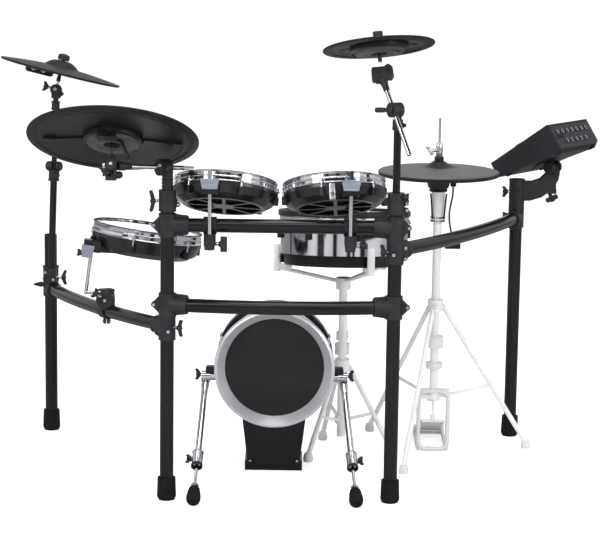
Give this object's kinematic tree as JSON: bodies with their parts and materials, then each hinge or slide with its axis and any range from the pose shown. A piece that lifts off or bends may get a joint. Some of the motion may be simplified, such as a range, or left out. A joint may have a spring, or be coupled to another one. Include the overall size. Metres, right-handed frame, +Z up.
{
  "type": "electronic drum kit",
  "caption": "Electronic drum kit: tubular black rack with rubber cymbal pads, mesh-head tom, snare and kick pads, a hi-hat on its own stand and a tilting sound module.",
  "frame": {"origin": "centre of the kick stand's underside, on the floor", "axes": "+X to the right as the audience sees the kit, +Y towards the drummer, +Z up"},
  "size_m": [1.8192, 1.2192, 1.299],
  "materials": {
    "black_steel": "satin black powder coat",
    "black_clamp": "moulded black clamp, fine grain",
    "black_rubber": "matte black rubber",
    "hat_rubber": "matte dark grey rubber",
    "chrome": "bright chrome plate",
    "black_plastic": "black moulded plastic",
    "satin_silver": "satin silver",
    "panel_black": "matte black sheet",
    "mesh_white": "woven white mesh head",
    "pale_steel": "pale grey-white paint",
    "module_grey": "dark grey moulded case",
    "button_grey": "grey key cap"
  },
  "bodies": {
    "rack": {"front_posts": "black_steel", "cross_bars": "black_steel", "rack_clamps": "black_clamp", "front_feet": "black_rubber", "tom_clamps": "black_clamp", "kick_shell": "chrome", "kick_front_ring": "satin_silver", "kick_front_panel": "panel_black", "kick_rear_hoop": "black_plastic", "kick_head": "mesh_white", "kick_stand": "black_steel", "snare_stand": "pale_steel", "hihat_stand": "pale_steel"},
    "left_wing": {"left_side_arm": "black_steel", "left_arm_clamps": "black_clamp", "rear_left_leg": "black_steel"},
    "right_wing": {"right_side_arm": "black_steel", "right_arm_clamps": "black_clamp", "rear_right_leg": "black_steel"},
    "crash_1_stand": {"crash_1_tube": "black_steel"},
    "crash_1_tilter": {"crash_1_tilter": "black_clamp"},
    "crash_1_pad": {"crash_1_cymbal": "black_rubber"},
    "ride_clamp": {"ride_boom_clamp": "black_clamp"},
    "ride_boom": {"ride_boom": "chrome"},
    "ride_tilter": {"ride_tilter": "black_clamp"},
    "ride_pad": {"ride_cymbal": "black_rubber"},
    "crash_2_stand": {"crash_2_tube": "black_steel"},
    "crash_2_boom": {"crash_2_boom": "chrome"},
    "crash_2_tilter": {"crash_2_tilter": "black_clamp"},
    "crash_2_pad": {"crash_2_cymbal": "black_rubber"},
    "kick_spur_left": {"kick_spur_left": "chrome"},
    "kick_spur_right": {"kick_spur_right": "chrome"},
    "snare": {"snare_shell": "chrome", "snare_base": "black_plastic", "snare_hoop": "chrome", "snare_head": "mesh_white", "snare_basket": "pale_steel"},
    "hihat_top": {"hihat_cymbal": "hat_rubber", "hihat_rod": "chrome", "hihat_lead": "black_rubber", "hihat_lead_plug": "black_plastic"},
    "hihat_pedal": {"hihat_pedal": "pale_steel"},
    "module_mount": {"module_mount": "black_clamp"},
    "module": {"module_case": "module_grey", "module_panel": "panel_black"},
    "module_dial": {"module_dial": "black_plastic"},
    "module_volume_knob": {"module_volume_knob": "black_plastic"},
    "module_button": {"module_button": "button_grey"},
    "tom_1_rod": {"tom_1_rod": "chrome"},
    "tom_1_pad": {"tom_1_frame": "black_plastic", "tom_1_hoop": "chrome", "tom_1_head": "mesh_white"},
    "tom_2_rod": {"tom_2_rod": "chrome"},
    "tom_2_pad": {"tom_2_frame": "black_plastic", "tom_2_hoop": "chrome", "tom_2_head": "mesh_white"},
    "tom_3_rod": {"tom_3_rod": "chrome"},
    "tom_3_pad": {"tom_3_frame": "black_plastic", "tom_3_hoop": "chrome", "tom_3_head": "mesh_white"}
  },
  "joints": [
    {"name": "left_wing_swing", "type": "hinge", "parent": "rack", "child": "left_wing", "pos_m": [-0.293, -0.372, 0], "axis": [0, 0, 1], "range_deg": [-5, 8]},
    {"name": "right_wing_swing", "type": "hinge", "parent": "rack", "child": "right_wing", "pos_m": [0.327, -0.372, 0], "axis": [0, 0, 1], "range_deg": [-8, 5]},
    {"name": "crash_1_turn", "type": "hinge", "parent": "left_wing", "child": "crash_1_stand", "pos_m": [-0.692, 0.36, 0.4736], "axis": [0.0314, 0, 0.9995], "range_deg": [-45, 45]},
    {"name": "crash_1_tilt", "type": "hinge", "parent": "crash_1_stand", "child": "crash_1_tilter", "pos_m": [-0.67346, 0.36, 1.06371], "axis": [0, 1, 0], "range_deg": [-25, 15]},
    {"name": "crash_1_rock", "type": "hinge", "parent": "crash_1_tilter", "child": "crash_1_pad", "pos_m": [-0.65447, 0.36635, 1.1422], "axis": [-0.0184, 0.9969, -0.0763], "range_deg": [-5, 5], "stiffness_Nm_per_rad": 3},
    {"name": "ride_clamp_turn", "type": "hinge", "parent": "rack", "child": "ride_clamp", "pos_m": [-0.293, -0.372, 0.86], "axis": [0, 0, 1], "range_deg": [-6, 20]},
    {"name": "ride_boom_slide", "type": "slide", "parent": "ride_clamp", "child": "ride_boom", "axis": [0.8259, 0.5571, -0.0872], "range_m": [-0.025, 0.05]},
    {"name": "ride_tilt", "type": "hinge", "parent": "ride_boom", "child": "ride_tilter", "pos_m": [-0.43844, -0.46336, 0.94129], "axis": [1, 0, 0], "range_deg": [-2, 28]},
    {"name": "ride_rock", "type": "hinge", "parent": "ride_tilter", "child": "ride_pad", "pos_m": [-0.43575, -0.415, 1.0322], "axis": [0.9996, 0, -0.0297], "range_deg": [-2.5, 5], "stiffness_Nm_per_rad": 3},
    {"name": "crash_2_turn", "type": "hinge", "parent": "rack", "child": "crash_2_stand", "pos_m": [0.327, -0.372, 0.86], "axis": [0, 0, 1], "range_deg": [-30, 30]},
    {"name": "crash_2_boom_tilt", "type": "hinge", "parent": "crash_2_stand", "child": "crash_2_boom", "pos_m": [0.31487, -0.37958, 1.092], "axis": [-0.848, -0.5299, 0], "range_deg": [-5, 35]},
    {"name": "crash_2_tilt", "type": "hinge", "parent": "crash_2_boom", "child": "crash_2_tilter", "pos_m": [0.28144, -0.32607, 1.18211], "axis": [1, 0, 0], "range_deg": [-15, 16]},
    {"name": "crash_2_rock", "type": "hinge", "parent": "crash_2_tilter", "child": "crash_2_pad", "pos_m": [0.27207, -0.30078, 1.27944], "axis": [0.9954, 0, 0.0958], "range_deg": [-5, 5], "stiffness_Nm_per_rad": 3},
    {"name": "tom_1_height", "type": "slide", "parent": "rack", "child": "tom_1_rod", "axis": [0, 0, 1], "range_m": [-0.02, 0]},
    {"name": "tom_1_swing", "type": "hinge", "parent": "tom_1_rod", "child": "tom_1_pad", "pos_m": [-0.177, -0.408, 0.77], "axis": [0, 0, 1], "range_deg": [-2, 6]},
    {"name": "tom_2_height", "type": "slide", "parent": "rack", "child": "tom_2_rod", "axis": [0, 0, 1], "range_m": [-0.02, 0]},
    {"name": "tom_2_swing", "type": "hinge", "parent": "tom_2_rod", "child": "tom_2_pad", "pos_m": [0.204, -0.408, 0.77], "axis": [0, 0, 1], "range_deg": [-6, 2]},
    {"name": "tom_3_rod_turn", "type": "hinge", "parent": "left_wing", "child": "tom_3_rod", "pos_m": [-0.54337, -0.07822, 0.52522], "axis": [1, 0, 0], "range_deg": [-8, 8]},
    {"name": "tom_3_swing", "type": "hinge", "parent": "tom_3_rod", "child": "tom_3_pad", "pos_m": [-0.54337, -0.07822, 0.52522], "axis": [0.1357, 0, 0.9907], "range_deg": [-10, 10]},
    {"name": "kick_spur_left_fold", "type": "hinge", "parent": "rack", "child": "kick_spur_left", "pos_m": [-0.199, -0.04, 0.275], "axis": [-1, 0, 0], "range_deg": [0, 50]},
    {"name": "kick_spur_right_fold", "type": "hinge", "parent": "rack", "child": "kick_spur_right", "pos_m": [0.199, -0.04, 0.275], "axis": [-1, 0, 0], "range_deg": [0, 50]},
    {"name": "snare_turn", "type": "hinge", "parent": "rack", "child": "snare", "pos_m": [0.2, 0.168, 0], "axis": [0, 0, 1], "range_deg": [-25, 25]},
    {"name": "hihat_pedal_hinge", "type": "hinge", "parent": "rack", "child": "hihat_pedal", "pos_m": [0.478, 0.403, 0.0175], "axis": [1, 0, 0], "range_deg": [0, 4]},
    {"name": "hihat_slide", "type": "slide", "parent": "rack", "child": "hihat_top", "axis": [0, 0, 1], "range_m": [-0.014, 0], "stiffness_N_per_m": 1500, "springref_m": 0.025},
    {"name": "module_turn", "type": "hinge", "parent": "right_wing", "child": "module_mount", "pos_m": [0.731, 0.401, 0], "axis": [0, 0, 1], "range_deg": [-15, 20]},
    {"name": "module_tilt", "type": "hinge", "parent": "module_mount", "child": "module", "pos_m": [0.838, 0.401, 0.844], "axis": [-0.6018, -0.7986, 0], "range_deg": [-30, 0]},
    {"name": "module_dial_turn", "type": "hinge", "parent": "module", "child": "module_dial", "pos_m": [0.74094, 0.3907, 0.90662], "axis": [-0.4524, 0.3409, 0.8241], "continuous": true},
    {"name": "module_volume_turn", "type": "hinge", "parent": "module", "child": "module_volume_knob", "pos_m": [0.81114, 0.52852, 0.88815], "axis": [-0.4524, 0.3409, 0.8241], "range_deg": [-135, 135]},
    {"name": "module_button_press", "type": "slide", "parent": "module", "child": "module_button", "axis": [-0.4524, 0.3409, 0.8241], "range_m": [-0.0015, 0], "stiffness_N_per_m": 400, "springref_m": 0.003}
  ],
  "couplings": [
    {"joint": "hihat_slide", "follows": "hihat_pedal_hinge", "m_per_rad": -0.2}
  ]
}
